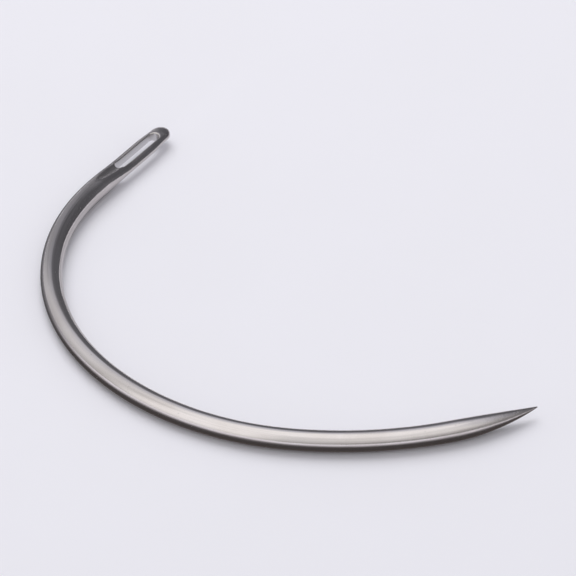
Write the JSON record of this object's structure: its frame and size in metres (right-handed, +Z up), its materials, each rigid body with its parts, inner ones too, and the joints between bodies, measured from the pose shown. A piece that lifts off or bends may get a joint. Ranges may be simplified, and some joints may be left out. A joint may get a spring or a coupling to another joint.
{
  "type": "upholstery needle",
  "caption": "Curved upholstery needle of bright plated steel wire: a wide C bend with a long round taper to the point and a long flattened eye.",
  "frame": {"origin": "under the middle of the needle's bounding box, on the table that it lies on", "axes": "the bending plane is horizontal, half a wire above XY; +X runs from the eye end to the point, +Y out of the mouth of the curve, +Z up through the eye"},
  "size_m": [0.0344, 0.0188, 0.0013],
  "materials": {
    "plated_steel": "bright nickel plate over drawn and polished steel wire"
  },
  "bodies": {
    "root": {"needle": "plated_steel"}
  },
  "joints": []
}
